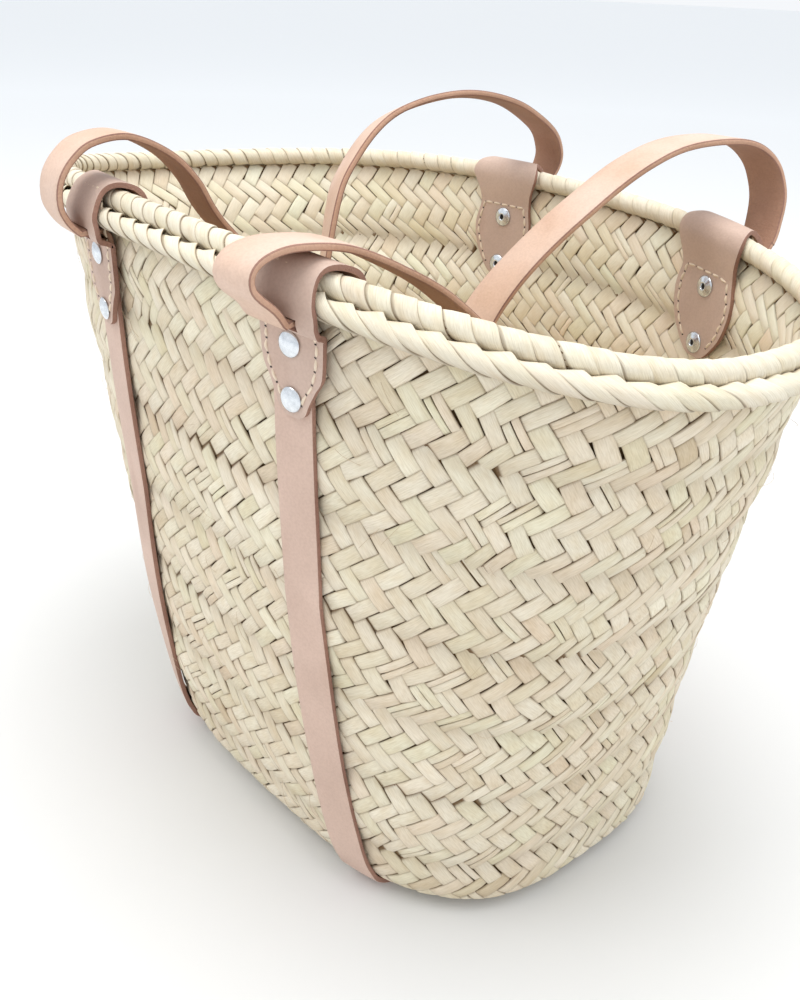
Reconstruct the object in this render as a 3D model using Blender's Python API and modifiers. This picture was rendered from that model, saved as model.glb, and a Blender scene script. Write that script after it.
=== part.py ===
"""Woven market basket: a plaited palm-leaf body with a wrapped rim, four leather tabs folded over the
rim, two leather straps under the base and two long leather handles flopped into the opening.

Metres, +Z up. X runs along the basket's length, +X towards the steeper end, and the floor is at z = 0.
The front long side is at -Y. Helpers work about the middle between the tabs; ORIGIN moves the whole
basket so that its box stands centred on the origin.
"""
import math

import bmesh
import bpy
import numpy as np
from mathutils import Matrix, Vector

# Plaited body
WALL_HEIGHT = 0.280
RIM_HALF_LENGTH = 0.2063
RIM_HALF_WIDTH = 0.1294
RIM_SQUARENESS = 2.38
BASE_HALF_LENGTH = 0.1342
BASE_HALF_WIDTH = 0.0858
BASE_SQUARENESS = 3.04
BASE_SHIFT = Vector((0.0277, -0.0035))
END_FLARE = 1.289
SIDE_FLARE = 0.321
END_DIP = 0.0078
NEAR_DIP = 0.0066
BACK_DIP = 0.0056
WALL_THICKNESS = 0.0045
BASE_CORNER = 0.008
AROUND = 48
WALL_ROWS = 9
CORNER_STEP = math.radians(30)

# Leather and the gap that touching pieces keep
GAP = 0.0004
STRAP_THICKNESS = 0.0024
STRAP_WIDTH = 0.019
TAB_THICKNESS = 0.0022
HANDLE_THICKNESS = 0.003
HANDLE_WIDTH = 0.0196
BASE_Z = STRAP_THICKNESS + GAP
FLEX_GAP = 0.0018

# Rim rolls: centre as (stand-off from the wall's outer face, height over its top edge), and radius
RIM_ROLL = (-0.0022, 0.0053, 0.0050)
RIM_BINDING = (0.0048, -0.0013, 0.0042)

# Rivets
RIVET_CAP_RADIUS = 0.0050
RIVET_CAP_HEIGHT = 0.0021
RIVET_SHANK_RADIUS = 0.0019
RIVET_HOLE_RADIUS = 0.0023
RIVET_TUBE_RADIUS = 0.0012
WASHER_RADIUS = 0.0054
ROUND_SEGMENTS = 10

# Tabs: side (-1 front, +1 back), place along x, and the depths of the two rivets under the wall's edge
TABS = {
    "front_near": (-1, 0.0905, 0.0182, 0.0392),
    "front_far": (-1, -0.0440, 0.0180, 0.0430),
    "back_near": (1, 0.1055, 0.0180, 0.0460),
    "back_far": (1, -0.0440, 0.0180, 0.0450),
}
HANDLE_OFFSET = -0.0035
RIVET_OFFSET = -0.0015
FLAP_PAST_RIVET = 0.0068
LAYER = GAP + STRAP_THICKNESS / 2
OUTER_FLAP = LAYER + STRAP_THICKNESS / 2 + GAP + TAB_THICKNESS / 2
INNER_FLAP = -WALL_THICKNESS - 0.0010 - TAB_THICKNESS / 2
SLIT_DEPTH = 0.0073
SLIT_HEIGHT = 0.0036
TAIL_END = 0.0124

# Handle routes, each from the near slit to the far slit, hidden loop included
FRONT_ROUTE = [
    (0.0900, -0.1475, 0.2935), (0.0896, -0.1480, 0.2995), (0.0895, -0.1420, 0.3042),
    (0.0895, -0.1290, 0.3060), (0.0900, -0.1070, 0.3030), (0.0900, -0.0820, 0.2925),
    (0.0905, -0.0560, 0.2775), (0.0910, -0.0300, 0.2530), (0.0915, -0.0120, 0.2120),
    (0.0880, -0.0010, 0.1700), (0.0740, 0.0080, 0.1320), (0.0450, 0.0140, 0.1080),
    (0.0120, 0.0140, 0.1080), (-0.0180, 0.0060, 0.1300), (-0.0360, -0.0060, 0.1650),
    (-0.0420, -0.0200, 0.2050), (-0.0430, -0.0450, 0.2500), (-0.0430, -0.0770, 0.2860),
    (-0.0435, -0.0880, 0.3040), (-0.0440, -0.1000, 0.3160), (-0.0452, -0.1180, 0.3240),
    (-0.0462, -0.1340, 0.3225), (-0.0470, -0.1430, 0.3165), (-0.0480, -0.1485, 0.3080),
    (-0.0485, -0.1495, 0.2985),
]
BACK_ROUTE = [
    (0.1062, 0.1440, 0.2840), (0.1020, 0.1505, 0.3000), (0.0960, 0.1460, 0.3155),
    (0.0900, 0.1300, 0.3240), (0.0820, 0.1010, 0.3235), (0.0770, 0.0760, 0.3160),
    (0.0710, 0.0520, 0.3010), (0.0610, 0.0260, 0.2770), (0.0540, 0.0060, 0.2520),
    (0.0500, -0.0090, 0.2200), (0.0420, -0.0220, 0.1900), (0.0250, -0.0320, 0.1700),
    (0.0060, -0.0380, 0.1760), (-0.0060, -0.0400, 0.2050), (-0.0100, -0.0380, 0.2450),
    (-0.0140, -0.0300, 0.2860), (-0.0200, -0.0160, 0.3070), (-0.0250, 0.0120, 0.3270),
    (-0.0310, 0.0600, 0.3350), (-0.0360, 0.1040, 0.3300), (-0.0420, 0.1400, 0.3150),
    (-0.0460, 0.1540, 0.3020), (-0.0480, 0.1555, 0.2910),
]
HANDLE_STEPS = 62
TURN_START = 0.36
LEAN_SPAN = (0.52, 0.78)
LEAN = {"front_handle": 0.0, "back_handle": 0.42}
END_SHARE = 0.12
EXIT_RUN = 0.0045
EXIT_RISE = 0.0054

ORIGIN = Vector((0.0, 0.0032, 0.0))


# ---------------------------------------------------------------- scene helpers

def clear_scene():
    for obj in list(bpy.data.objects):
        bpy.data.objects.remove(obj, do_unlink=True)


def make_collection(name):
    collection = bpy.data.collections.new(name)
    bpy.context.scene.collection.children.link(collection)
    return collection


def make_material(name, colour, roughness, metallic=0.0):
    material = bpy.data.materials.new(name)
    material.use_nodes = True
    shader = material.node_tree.nodes["Principled BSDF"]
    shader.inputs["Base Color"].default_value = (*colour, 1.0)
    shader.inputs["Roughness"].default_value = roughness
    shader.inputs["Metallic"].default_value = metallic
    return material


def add_object(name, mesh, material, collection):
    """A new object for a mesh, in a collection, with a material where one is given."""
    obj = bpy.data.objects.new(name, mesh)
    collection.objects.link(obj)
    if material:
        mesh.materials.append(material)
    return obj


def finish_mesh(name, bm, smooth_degrees=40):
    mesh = bpy.data.meshes.new(name)
    bmesh.ops.recalc_face_normals(bm, faces=bm.faces)
    bm.to_mesh(mesh)
    bm.free()
    mesh.shade_smooth()
    mesh.set_sharp_from_angle(angle=math.radians(smooth_degrees))
    return mesh


def grid_mesh(name, point, columns, rows, seam=False, cap=False):
    """A sheet of columns by rows faces; point(u, v) gives its place for u and v from 0 to 1. A seam
    joins the first column to the last, and a cap closes the first row."""
    bm = bmesh.new()
    bmesh.ops.create_grid(bm, x_segments=columns, y_segments=rows, size=0.5)
    for vert in bm.verts:
        vert.co = point(min(max(vert.co.x + 0.5, 0), 1), min(max(vert.co.y + 0.5, 0), 1)) - ORIGIN
    if seam:
        bmesh.ops.remove_doubles(bm, verts=bm.verts, dist=1e-5)
    if cap:
        low = min(v.co.z for v in bm.verts) + 1e-5
        edges = [e for e in bm.edges if e.is_boundary and all(v.co.z < low for v in e.verts)]
        bmesh.ops.contextual_create(bm, geom=edges)
    return finish_mesh(name, bm)


def solidify(obj, thickness, offset):
    modifier = obj.modifiers.new("thickness", "SOLIDIFY")
    modifier.thickness = thickness
    modifier.offset = offset
    modifier.use_even_offset = True


def cut(obj, cutter):
    modifier = obj.modifiers.new("cut_" + cutter.name, "BOOLEAN")
    modifier.operation = "DIFFERENCE"
    modifier.object = cutter
    modifier.solver = "EXACT"


def turned(name, profile, frame, material, collection):
    """A solid turned about the frame's Z axis from (radius, height) points."""
    mesh = bpy.data.meshes.new(name)
    mesh.from_pydata([(r, 0.0, z) for r, z in profile], [(i, i + 1) for i in range(len(profile) - 1)], [])
    obj = add_object(name, mesh, material, collection)
    obj.matrix_world = Matrix.Translation(-ORIGIN) @ frame
    screw = obj.modifiers.new("turn", "SCREW")
    screw.steps = screw.render_steps = ROUND_SEGMENTS
    screw.use_merge_vertices = True
    screw.merge_threshold = 0.00005
    return obj


# ---------------------------------------------------------------- the wall as a surface

def rim_height(phi):
    """The wall's top edge dips at the ends and a little at the back."""
    return (WALL_HEIGHT - END_DIP * math.cos(2 * phi) - NEAR_DIP * math.cos(phi)
            - BACK_DIP * math.sin(phi))


def section(t):
    """Half length, half width, squareness and shift of the wall's outline at height fraction t."""
    half_length = BASE_HALF_LENGTH + (RIM_HALF_LENGTH - BASE_HALF_LENGTH) * t ** END_FLARE
    half_width = BASE_HALF_WIDTH + (RIM_HALF_WIDTH - BASE_HALF_WIDTH) * t ** SIDE_FLARE
    squareness = BASE_SQUARENESS + (RIM_SQUARENESS - BASE_SQUARENESS) * t
    under_corner = BASE_CORNER - t * (WALL_HEIGHT - BASE_Z)
    if under_corner > 0:
        inset = BASE_CORNER - math.sqrt(BASE_CORNER ** 2 - under_corner ** 2)
        half_length -= inset
        half_width -= inset
    return half_length, half_width, squareness, BASE_SHIFT * (1 - t)


def corner_rows(step):
    """Height fractions up the rounded lower corner, one for each step of its quarter turn."""
    count = round(math.pi / 2 / step)
    return [BASE_CORNER * (1 - math.cos(k * step)) / (WALL_HEIGHT - BASE_Z) for k in range(count + 1)]


def wall_point(phi, t):
    """A point of the wall's outer face; phi runs round the basket and t from base to top edge."""
    c, s = math.cos(phi), math.sin(phi)
    half_length, half_width, squareness, shift = section(t)
    x = math.copysign(half_length * abs(c) ** (2 / squareness), c) + shift.x
    y = math.copysign(half_width * abs(s) ** (2 / squareness), s) + shift.y
    return Vector((x, y, BASE_Z + (rim_height(phi) - BASE_Z) * t))


def wall_normal(phi, t):
    step = 1e-3
    low, high = max(t - step, 0.0), min(t + step, 1.0)
    along = wall_point(phi + step, t) - wall_point(phi - step, t)
    up = wall_point(phi, high) - wall_point(phi, low)
    return along.cross(up).normalized()


def angle_at(x, side, t):
    """The angle phi at which a long side of the wall reaches x."""
    half_length, _, squareness, shift = section(t)
    c = math.copysign(min(abs(x - shift.x) / half_length, 1.0) ** (squareness / 2), x - shift.x)
    return side * math.acos(c)


def on_side(x, side, height, stand_off):
    """A point standing off a long side's outer face, at a height over the wall's top edge (under it
    when negative)."""
    rim = rim_height(angle_at(x, side, 1.0)) - BASE_Z
    t = 1 + min(height, 0.0) / rim
    phi = angle_at(x, side, t)
    point = wall_point(phi, t) + wall_normal(phi, t) * stand_off
    point.z += max(height, 0.0)
    return point


def side_frame(x, side, depth, stand_off=0.0):
    """A frame by a long side's outer face: X along the wall, Z out of the basket."""
    origin = on_side(x, side, -depth, stand_off)
    z = (on_side(x, side, -depth, stand_off + 0.01) - origin).normalized()
    along = (on_side(x + 0.005, side, -depth, stand_off) - on_side(x - 0.005, side, -depth, stand_off)) * -side
    y = z.cross(along).normalized()
    frame = Matrix((y.cross(z), y, z)).transposed().to_4x4()
    frame.translation = origin
    return frame


def even_angles(t):
    """AROUND + 1 angles that share the outline at height t out evenly, starting at the near end."""
    fine = np.linspace(0.0, 2 * math.pi, 2881)
    points = np.array([wall_point(phi, t) for phi in fine])
    lengths = np.concatenate([[0.0], np.cumsum(np.linalg.norm(np.diff(points, axis=0), axis=1))])
    return np.interp(np.linspace(0.0, lengths[-1], AROUND + 1), lengths, fine)


def smooth_route(points, steps, closer_ends=0.0):
    """Places along a smooth curve through the points, at equal steps, or at shorter ones near the ends
    for closer_ends from 0 to 1."""
    p = np.array(points, dtype=float)
    p = np.vstack([2 * p[0] - p[1], p, 2 * p[-1] - p[-2]])
    fine = []
    for i in range(1, len(p) - 2):
        for s in np.linspace(0.0, 1.0, 24, endpoint=False):
            fine.append(0.5 * (2 * p[i] + (p[i + 1] - p[i - 1]) * s
                               + (2 * p[i - 1] - 5 * p[i] + 4 * p[i + 1] - p[i + 2]) * s ** 2
                               + (3 * p[i] - p[i - 1] - 3 * p[i + 1] + p[i + 2]) * s ** 3))
    fine = np.array(fine + [p[-2]])
    spans = np.linalg.norm(np.diff(fine, axis=0), axis=1)
    lengths = np.concatenate([[0.0], np.cumsum(spans)])
    even = np.linspace(0.0, 1.0, steps + 1)
    places = lengths[-1] * (even - closer_ends * np.sin(2 * math.pi * even) / (2 * math.pi))
    return np.stack([np.interp(places, lengths, column) for column in fine.T], axis=1)


# ---------------------------------------------------------------- palm-leaf pieces

def build_body(parts, material):
    """The wall and base as one shell, level with the wall's edge on its inside too, where it leans."""
    angles = even_angles(0.5)
    rows = corner_rows(CORNER_STEP)[:-1]
    corner = corner_rows(CORNER_STEP)[-1]
    rows += [corner + (1 - corner) * (k / WALL_ROWS) ** 1.5 for k in range(WALL_ROWS + 1)]

    def point(u, v):
        phi = angles[round(u * AROUND)]
        t = rows[round(v * (len(rows) - 1))]
        rise = -wall_normal(phi, 1.0).z * WALL_THICKNESS
        return wall_point(phi, t * (1 - rise / WALL_HEIGHT * t ** 8))

    mesh = grid_mesh("plaited_body", point, AROUND, len(rows) - 1, seam=True, cap=True)
    body = add_object("plaited_body", mesh, material, parts)
    solidify(body, WALL_THICKNESS, -1.0)
    return body


def build_ring(name, roll, material, parts):
    """A roll that follows the wall's top edge."""
    angles = even_angles(0.5)
    stand_off, height, radius = roll

    def point(u, v):
        phi = angles[round(u * AROUND)]
        outward = wall_normal(phi, 1.0)
        outward = Vector((outward.x, outward.y, 0.0)).normalized()
        turn = 2 * math.pi * v
        centre = wall_point(phi, 1.0) + outward * stand_off + Vector((0, 0, height))
        return centre + outward * (radius * math.cos(turn)) + Vector((0, 0, radius * math.sin(turn)))

    mesh = grid_mesh(name, point, AROUND, 8, seam=True)
    return add_object(name, mesh, material, parts)


# ---------------------------------------------------------------- leather pieces

def tab_profile(length):
    """(stand-off, height over the wall's edge, half width) from the outer flap's tip, up over the two
    rolls and down to the inner flap's tip."""
    o, i = OUTER_FLAP, INNER_FLAP
    return [
        (o, -length, 0.0030), (o, -length + 0.0022, 0.0060), (o, -length + 0.007, 0.0080),
        (o, -length + 0.013, 0.0108), (o, -length + 0.019, 0.0136), (o, -0.0140, 0.0146),
        (o + 0.0004, -0.0122, 0.0150), (0.0075, -0.0106, 0.0154), (0.0098, -0.0096, 0.0158),
        (0.0107, -0.0073, 0.0160), (0.0107, -0.0040, 0.0156), (0.0106, 0.0005, 0.0148),
        (0.0086, 0.0055, 0.0140), (0.0058, 0.0096, 0.0136), (0.0020, 0.0120, 0.0142),
        (-0.0022, 0.0124, 0.0168), (-0.0070, 0.0105, 0.0208), (-0.0094, 0.0058, 0.0220),
        (-0.0092, 0.0, 0.0205), (-0.0078, -0.0060, 0.0185), (i, -0.0120, 0.0178),
        (i, -0.0240, 0.0205), (i, -length + 0.016, 0.0175), (i, -length + 0.007, 0.0120),
        (i, -length + 0.002, 0.0075), (i, -length, 0.0040),
    ]


def build_tab(name, parts, material):
    side, x, _, lower = TABS[name]
    middle = x + RIVET_OFFSET
    profile = tab_profile(lower + FLAP_PAST_RIVET)
    rows = len(profile) - 1

    def point(u, v):
        stand_off, height, half_width = profile[round(u * rows)]
        return on_side(middle + (2 * v - 1) * half_width, side, height, stand_off)

    mesh = grid_mesh(name + "_tab", point, rows, 4)
    tab = add_object(name + "_tab", mesh, material, parts)
    solidify(tab, TAB_THICKNESS, 0.0)
    return tab


def build_tail(name, parts, material):
    """The sewn-in end of a handle: up between wall and flap, then out through the tab's slit."""
    side, x, upper, lower = TABS[name]
    x += HANDLE_OFFSET
    low = (upper + lower) / 2 - 0.0005
    route = smooth_route([
        (LAYER, -low), (LAYER, -0.0180), (LAYER, -0.0122), (0.0025, -0.0092), (0.0050, -0.0076),
        (0.0085, -SLIT_DEPTH), (TAIL_END, -SLIT_DEPTH)], 12)
    outward = side_frame(x, side, SLIT_DEPTH).to_3x3().col[2]

    def point(u, v):
        stand_off, height = route[round(u * 12)]
        on_wall = on_side(x + (v - 0.5) * HANDLE_WIDTH, side, height, LAYER)
        return on_wall + outward * (stand_off - LAYER)

    mesh = grid_mesh(name + "_handle_tail", point, 12, 2)
    tail = add_object(name + "_handle_tail", mesh, material, parts)
    solidify(tail, STRAP_THICKNESS, 0.0)
    return tail


def strap_end_depth(name):
    _, _, upper, lower = TABS[name]
    return (upper + lower) / 2 + 0.0005


def build_base_strap(name, front_tab, back_tab, base_x, parts, material):
    """One strap from under the front tab, down the wall, under the base and up to the back tab."""
    front_x = TABS[front_tab][1] + HANDLE_OFFSET
    back_x = TABS[back_tab][1] + HANDLE_OFFSET

    def wall_run(x_top, side, tab):
        """(x, height fraction) places from under the flap down to the base."""
        rim = rim_height(angle_at(x_top, side, 1.0)) - BASE_Z
        top = 1 - strap_end_depth(tab) / rim
        corner = corner_rows(CORNER_STEP / 2)
        heights = [corner[-1] + (top - corner[-1]) * (1 - k / 14) ** 1.5 for k in range(14)]
        heights += reversed(corner)
        return [(base_x + (x_top - base_x) * min(t / 0.55, 1.0) ** 0.8, t) for t in heights]

    middles = [(x, -1, t) for x, t in wall_run(front_x, -1, front_tab)]
    middles += [(base_x, -1 + 2 * k / 5, None) for k in range(1, 5)]
    middles += [(x, 1, t) for x, t in reversed(wall_run(back_x, 1, back_tab))]

    def point(u, v):
        x, side, t = middles[round(u * (len(middles) - 1))]
        x += (v - 0.5) * STRAP_WIDTH
        if t is None:
            edge = wall_point(angle_at(x, math.copysign(1, side), 0.0), 0.0)
            centre_y = BASE_SHIFT.y
            return Vector((x, centre_y + (edge.y - centre_y) * abs(side), BASE_Z - GAP - STRAP_THICKNESS / 2))
        phi = angle_at(x, side, t)
        return wall_point(phi, t) + wall_normal(phi, t) * LAYER

    mesh = grid_mesh(name, point, len(middles) - 1, 2)
    strap = add_object(name, mesh, material, parts)
    solidify(strap, STRAP_THICKNESS, 0.0)
    return strap


def handle_end(name):
    """A frame at the end of a handle, just outside the slit, where the leather flexes."""
    side, x, _, _ = TABS[name]
    return side_frame(x + HANDLE_OFFSET, side, SLIT_DEPTH, TAIL_END + FLEX_GAP)


def build_handle(name, near_tab, far_tab, route, hang, parts, material):
    """A flat strap along its route. Its width lies along X on the legs and turns across the hanging
    loop in between; hang is the direction in which that loop hangs. At both ends it lies along the
    wall that it leaves, and the far leg leans by up to LEAN in between."""
    ends = [handle_end(near_tab), handle_end(far_tab)]
    leads = [end @ Vector((0.0, EXIT_RISE, EXIT_RUN)) for end in ends]
    route = [ends[0].translation, leads[0], *route, leads[1], ends[1].translation]
    places = smooth_route(route, HANDLE_STEPS, closer_ends=0.75)
    along_x = Vector((1, 0, 0))
    across = along_x.cross(hang).normalized()

    def point(u, v):
        k = round(u * HANDLE_STEPS)
        before, after = places[max(k - 1, 0)], places[min(k + 1, HANDLE_STEPS)]
        tangent = Vector(after - before).normalized()
        ramp = min(max((u - TURN_START) / (1 - 2 * TURN_START), 0.0), 1.0)
        turn = math.pi * ramp * ramp * (3 - 2 * ramp)
        along_leg = min(max((u - LEAN_SPAN[0]) / (LEAN_SPAN[1] - LEAN_SPAN[0]), 0.0), 1.0)
        turn -= LEAN[name] * math.sin(math.pi * along_leg) ** 2
        width = along_x * math.cos(turn) + across * math.sin(turn)
        end = ends[0] if u < 0.5 else ends[1]
        along_wall = end.to_3x3().col[0]
        from_end = min(u, 1 - u)
        near_end = min(max(1.4 - from_end / END_SHARE, 0.0), 1.0)
        width = width.lerp(along_wall * math.copysign(1, along_wall.dot(width)), near_end)
        width = (width - tangent * width.dot(tangent)).normalized()
        return Vector(places[k]) + width * ((v - 0.5) * HANDLE_WIDTH)

    handle = add_object(name, grid_mesh(name, point, HANDLE_STEPS, 2), material, parts)
    solidify(handle, HANDLE_THICKNESS, 0.0)
    return handle


# ---------------------------------------------------------------- rivets

def rivet_frame(name, depth):
    """A frame on the wall's outer face at a rivet, Z pointing out of the basket."""
    side, x, _, _ = TABS[name]
    return side_frame(x + RIVET_OFFSET, side, depth)


def build_rivet(name, frame, parts, material):
    """Domed cap over the outer flap and a shank through every layer, hollow at its inner end."""
    under = OUTER_FLAP + TAB_THICKNESS / 2 + 0.0005
    inner = INNER_FLAP - TAB_THICKNESS / 2 - 0.0017
    cap, top, shank = RIVET_CAP_RADIUS, under + RIVET_CAP_HEIGHT, RIVET_SHANK_RADIUS
    profile = [(0.0, top), (cap * 0.6, top - 0.0004), (cap, top - 0.0015), (cap, under), (shank, under),
               (shank, inner), (RIVET_TUBE_RADIUS, inner), (RIVET_TUBE_RADIUS, inner + 0.003),
               (0.0, inner + 0.003)]
    return turned(name, profile, frame, material, parts)


def build_washer(name, frame, parts, material):
    top = INNER_FLAP - TAB_THICKNESS / 2 - 0.0006
    bore, edge = RIVET_HOLE_RADIUS, WASHER_RADIUS
    profile = [(bore, top), (edge, top), (edge, top - 0.0005), (bore + 0.0010, top - 0.0013),
               (bore, top - 0.0010), (bore, top)]
    return turned(name, profile, frame, material, parts)


def build_hole_cutter(name, frame, cutters):
    bm = bmesh.new()
    bmesh.ops.create_cone(bm, cap_ends=True, segments=ROUND_SEGMENTS, radius1=RIVET_HOLE_RADIUS,
                          radius2=RIVET_HOLE_RADIUS, depth=0.03)
    cutter = add_object(name, finish_mesh(name, bm), None, cutters)
    cutter.matrix_world = Matrix.Translation(-ORIGIN) @ frame
    cutter.hide_render = True
    cutter.display_type = "WIRE"
    return cutter


def build_slit_cutter(name, tab, cutters):
    """A box through the outer flap where the handle's tail passes."""
    side, x, _, _ = TABS[tab]
    frame = side_frame(x + HANDLE_OFFSET, side, SLIT_DEPTH, RIM_BINDING[0] + RIM_BINDING[2] + 0.0015)
    bm = bmesh.new()
    bmesh.ops.create_cube(bm, size=1.0)
    bmesh.ops.scale(bm, vec=(HANDLE_WIDTH + 0.0014, SLIT_HEIGHT, 0.0055), verts=bm.verts)
    cutter = add_object(name, finish_mesh(name, bm), None, cutters)
    cutter.matrix_world = Matrix.Translation(-ORIGIN) @ frame
    cutter.hide_render = True
    cutter.display_type = "WIRE"
    return cutter


# ---------------------------------------------------------------- assembly

def main():
    clear_scene()
    parts = make_collection("woven_market_basket")
    cutters = make_collection("cutters")
    palm = make_material("palm_leaf", (0.68, 0.60, 0.44), 0.75)
    rim_palm = make_material("rim_palm_leaf", (0.74, 0.68, 0.52), 0.65)
    tab_leather = make_material("tab_leather", (0.56, 0.38, 0.29), 0.6)
    strap_leather = make_material("strap_leather", (0.62, 0.44, 0.35), 0.6)
    handle_leather = make_material("handle_leather", (0.80, 0.57, 0.45), 0.55)
    steel = make_material("rivet_steel", (0.80, 0.81, 0.83), 0.25, 1.0)

    body = build_body(parts, palm)
    build_ring("rim_roll", RIM_ROLL, rim_palm, parts)
    build_ring("rim_binding", RIM_BINDING, rim_palm, parts)
    straps = {
        "near": build_base_strap("near_base_strap", "front_near", "back_near", 0.103, parts, strap_leather),
        "far": build_base_strap("far_base_strap", "front_far", "back_far", -0.056, parts, strap_leather),
    }
    for name, (side, x, upper, lower) in TABS.items():
        tab = build_tab(name, parts, tab_leather)
        tail = build_tail(name, parts, handle_leather)
        cut(tab, build_slit_cutter(name + "_slit_cutter", name, cutters))
        for level, depth, layer in (("upper", upper, tail), ("lower", lower, straps[name.split("_")[1]])):
            frame = rivet_frame(name, depth)
            build_rivet(f"{name}_{level}_rivet", frame, parts, steel)
            build_washer(f"{name}_{level}_rivet_washer", frame, parts, steel)
            hole = build_hole_cutter(f"{name}_{level}_hole_cutter", frame, cutters)
            for piece in (body, tab, layer):
                cut(piece, hole)
    build_handle("front_handle", "front_near", "front_far", FRONT_ROUTE, Vector((0, 0.64, -0.77)),
                 parts, handle_leather)
    build_handle("back_handle", "back_near", "back_far", BACK_ROUTE, Vector((0, -0.64, -0.77)),
                 parts, handle_leather)


main()
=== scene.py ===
import math

import bmesh
import bpy
import numpy as np
from mathutils import Matrix, Vector


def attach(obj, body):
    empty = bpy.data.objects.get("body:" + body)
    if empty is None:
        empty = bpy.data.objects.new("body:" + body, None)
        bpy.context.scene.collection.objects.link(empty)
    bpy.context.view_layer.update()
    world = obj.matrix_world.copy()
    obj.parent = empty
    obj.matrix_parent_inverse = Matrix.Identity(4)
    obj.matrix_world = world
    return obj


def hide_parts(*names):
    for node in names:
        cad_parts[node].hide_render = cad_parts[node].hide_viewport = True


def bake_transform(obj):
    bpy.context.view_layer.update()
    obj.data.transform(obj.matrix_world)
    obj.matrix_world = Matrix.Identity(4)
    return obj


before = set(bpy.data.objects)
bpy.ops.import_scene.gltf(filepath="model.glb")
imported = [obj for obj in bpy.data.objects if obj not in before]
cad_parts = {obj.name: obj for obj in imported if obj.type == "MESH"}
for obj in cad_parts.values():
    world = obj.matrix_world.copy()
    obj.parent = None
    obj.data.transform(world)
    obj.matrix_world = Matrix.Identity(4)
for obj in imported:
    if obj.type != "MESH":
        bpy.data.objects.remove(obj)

TAU = 2 * math.pi
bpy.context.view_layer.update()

# The wall, as in the CAD part: half sizes, squareness and dips, in metres about the tabs' middle
WALL_HEIGHT = 0.28
RIM_HALF_LENGTH = 0.2063
RIM_HALF_WIDTH = 0.1294
RIM_SQUARENESS = 2.38
BASE_HALF_LENGTH = 0.1342
BASE_HALF_WIDTH = 0.0858
BASE_SQUARENESS = 3.04
BASE_SHIFT = (0.0277, -0.0035)
END_FLARE = 1.289
SIDE_FLARE = 0.321
END_DIP = 0.0078
NEAR_DIP = 0.0066
BACK_DIP = 0.0056
WALL_THICKNESS = 0.0045
BASE_CORNER = 0.008
ORIGIN = np.array([0.0, 0.0032, 0.0])

GAP = 0.0004
STRAP_THICKNESS = 0.0024
STRAP_WIDTH = 0.019
TAB_THICKNESS = 0.0022
HANDLE_THICKNESS = 0.003
HANDLE_WIDTH = 0.0196
BASE_Z = STRAP_THICKNESS + GAP
WALL_RISE = WALL_HEIGHT - BASE_Z
LAYER = GAP + STRAP_THICKNESS / 2
OUTER_FLAP = LAYER + STRAP_THICKNESS / 2 + GAP + TAB_THICKNESS / 2
INNER_FLAP = -WALL_THICKNESS - 0.001 - TAB_THICKNESS / 2
OUTER_FACE = OUTER_FLAP + TAB_THICKNESS / 2
INNER_FACE = INNER_FLAP - TAB_THICKNESS / 2
SLIT_DEPTH = 0.0073
SLIT_HEIGHT = 0.0036
SLIT_HALF_FLAP = 0.016
STITCH = 0.005
STITCH_INSET = 0.0031
TAIL_END = 0.0124
FLEX_GAP = 0.0018
EXIT_RUN = 0.0045
EXIT_RISE = 0.0054
CLOSER_ENDS = 0.75
TURN_START = 0.36
LEAN_SPAN = (0.52, 0.78)
LEAN = {"front_handle": 0.0, "back_handle": 0.42}
END_SHARE = 0.12
RIM_ROLL = (-0.0022, 0.0053, 0.005)
RIM_BINDING = (0.0048, -0.0013, 0.0042)
HANDLE_OFFSET = -0.0035
RIVET_OFFSET = -0.0015
FLAP_PAST_RIVET = 0.0068

# Tabs: side, place along x, depths of the two rivets
TABS = {
    "front_near": (-1, 0.0905, 0.0182, 0.0392),
    "front_far": (-1, -0.044, 0.018, 0.043),
    "back_near": (1, 0.1055, 0.018, 0.046),
    "back_far": (1, -0.044, 0.018, 0.045),
}
# The handles' routes between their slits, in millimetres
FRONT_ROUTE = [
    (90, -147.5, 293.5), (89.6, -148, 299.5), (89.5, -142, 304.2), (89.5, -129, 306), (90, -107, 303),
    (90, -82, 292.5), (90.5, -56, 277.5), (91, -30, 253), (91.5, -12, 212), (88, -1, 170), (74, 8, 132),
    (45, 14, 108), (12, 14, 108), (-18, 6, 130), (-36, -6, 165), (-42, -20, 205), (-43, -45, 250),
    (-43, -77, 286), (-43.5, -88, 304), (-44, -100, 316), (-45.2, -118, 324), (-46.2, -134, 322.5),
    (-47, -143, 316.5), (-48, -148.5, 308), (-48.5, -149.5, 298.5),
]
BACK_ROUTE = [
    (106.2, 144, 284), (102, 150.5, 300), (96, 146, 315.5), (90, 130, 324), (82, 101, 323.5),
    (77, 76, 316), (71, 52, 301), (61, 26, 277), (54, 6, 252), (50, -9, 220), (42, -22, 190),
    (25, -32, 170), (6, -38, 176), (-6, -40, 205), (-10, -38, 245), (-14, -30, 286), (-20, -16, 307),
    (-25, 12, 327), (-31, 60, 335), (-36, 104, 330), (-42, 140, 315), (-46, 154, 302), (-48, 155.5, 291),
]

# Plaiting: rows of leaning floats, SLANT of a float further round with each row
STRIP = 0.0075
BRAIDS = 7
ROWS_PER_BRAID = 4
ROWS = BRAIDS * ROWS_PER_BRAID
UNIT = math.sqrt(2) * STRIP
SLANT = 0.22
MID_WALL = 0.00205
NUMBER_STEP = 0.05
SPLIT_PART = 0.09
SPLIT_GAP = 0.015
UNDER_PLAIT_LIFT = 0.0004
CORE_STEPS = 145

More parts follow.
